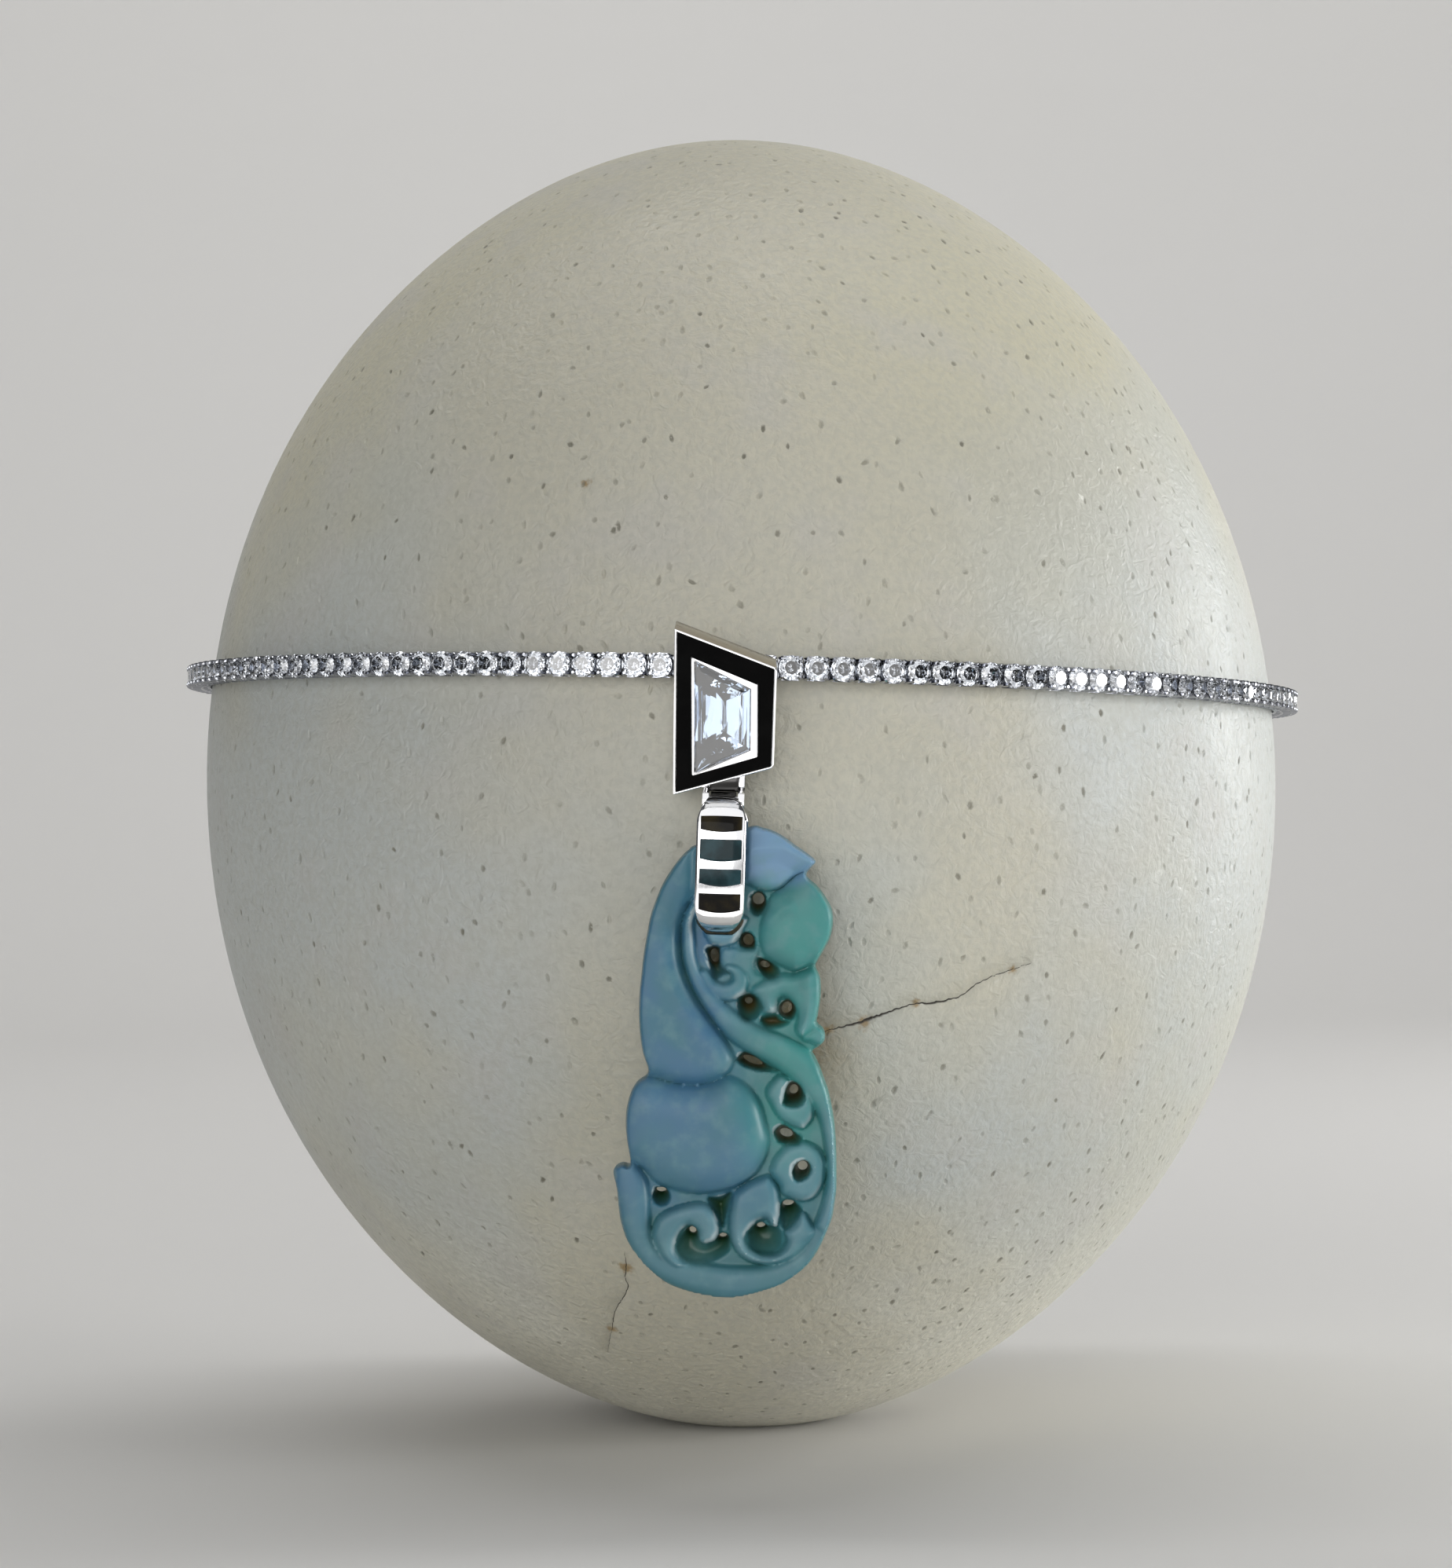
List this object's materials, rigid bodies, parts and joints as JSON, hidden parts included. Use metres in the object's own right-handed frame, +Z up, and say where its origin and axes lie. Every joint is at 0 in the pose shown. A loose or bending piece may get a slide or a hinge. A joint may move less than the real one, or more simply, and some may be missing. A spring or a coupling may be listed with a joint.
{
  "type": "decorated ostrich egg",
  "caption": "Pored ostrich egg standing on a small flat spot, dressed with a diamond line necklace, a trapezoid stone centre and a hinged carved jade drop",
  "frame": {"origin": "middle of the flat spot that the egg stands on", "axes": "+Z up along the egg, -Y towards the viewer, where the centre and the jade drop hang, +X to the viewer's right"},
  "size_m": [0.13, 0.1369, 0.1499],
  "materials": {
    "eggshell": "satin ivory shell, pored, with two fine cracks",
    "line_stones": "round brilliants in white metal settings",
    "white_gold": "bright polished white metal",
    "onyx": "polished black",
    "clear_stone": "clear step-cut stone, faintly blue",
    "jade": "polished lavender blue and green jade"
  },
  "bodies": {
    "dressed_egg": {"egg": "eggshell", "diamond_line": "line_stones", "line_clasp": "white_gold", "centre_frame": "white_gold", "onyx_border": "onyx", "centre_diamond": "clear_stone", "hinge_pin": "white_gold"},
    "drop": {"bail": "white_gold", "bail_inlay_1": "onyx", "bail_inlay_2": "onyx", "bail_inlay_3": "onyx", "bail_inlay_4": "onyx", "jade_drop": "jade"}
  },
  "joints": [
    {"name": "drop_swing", "type": "hinge", "parent": "dressed_egg", "child": "drop", "pos_m": [-0.00006, -0.067, 0.07283], "axis": [-0.9988, 0, 0.0489], "range_deg": [0, 45]}
  ]
}
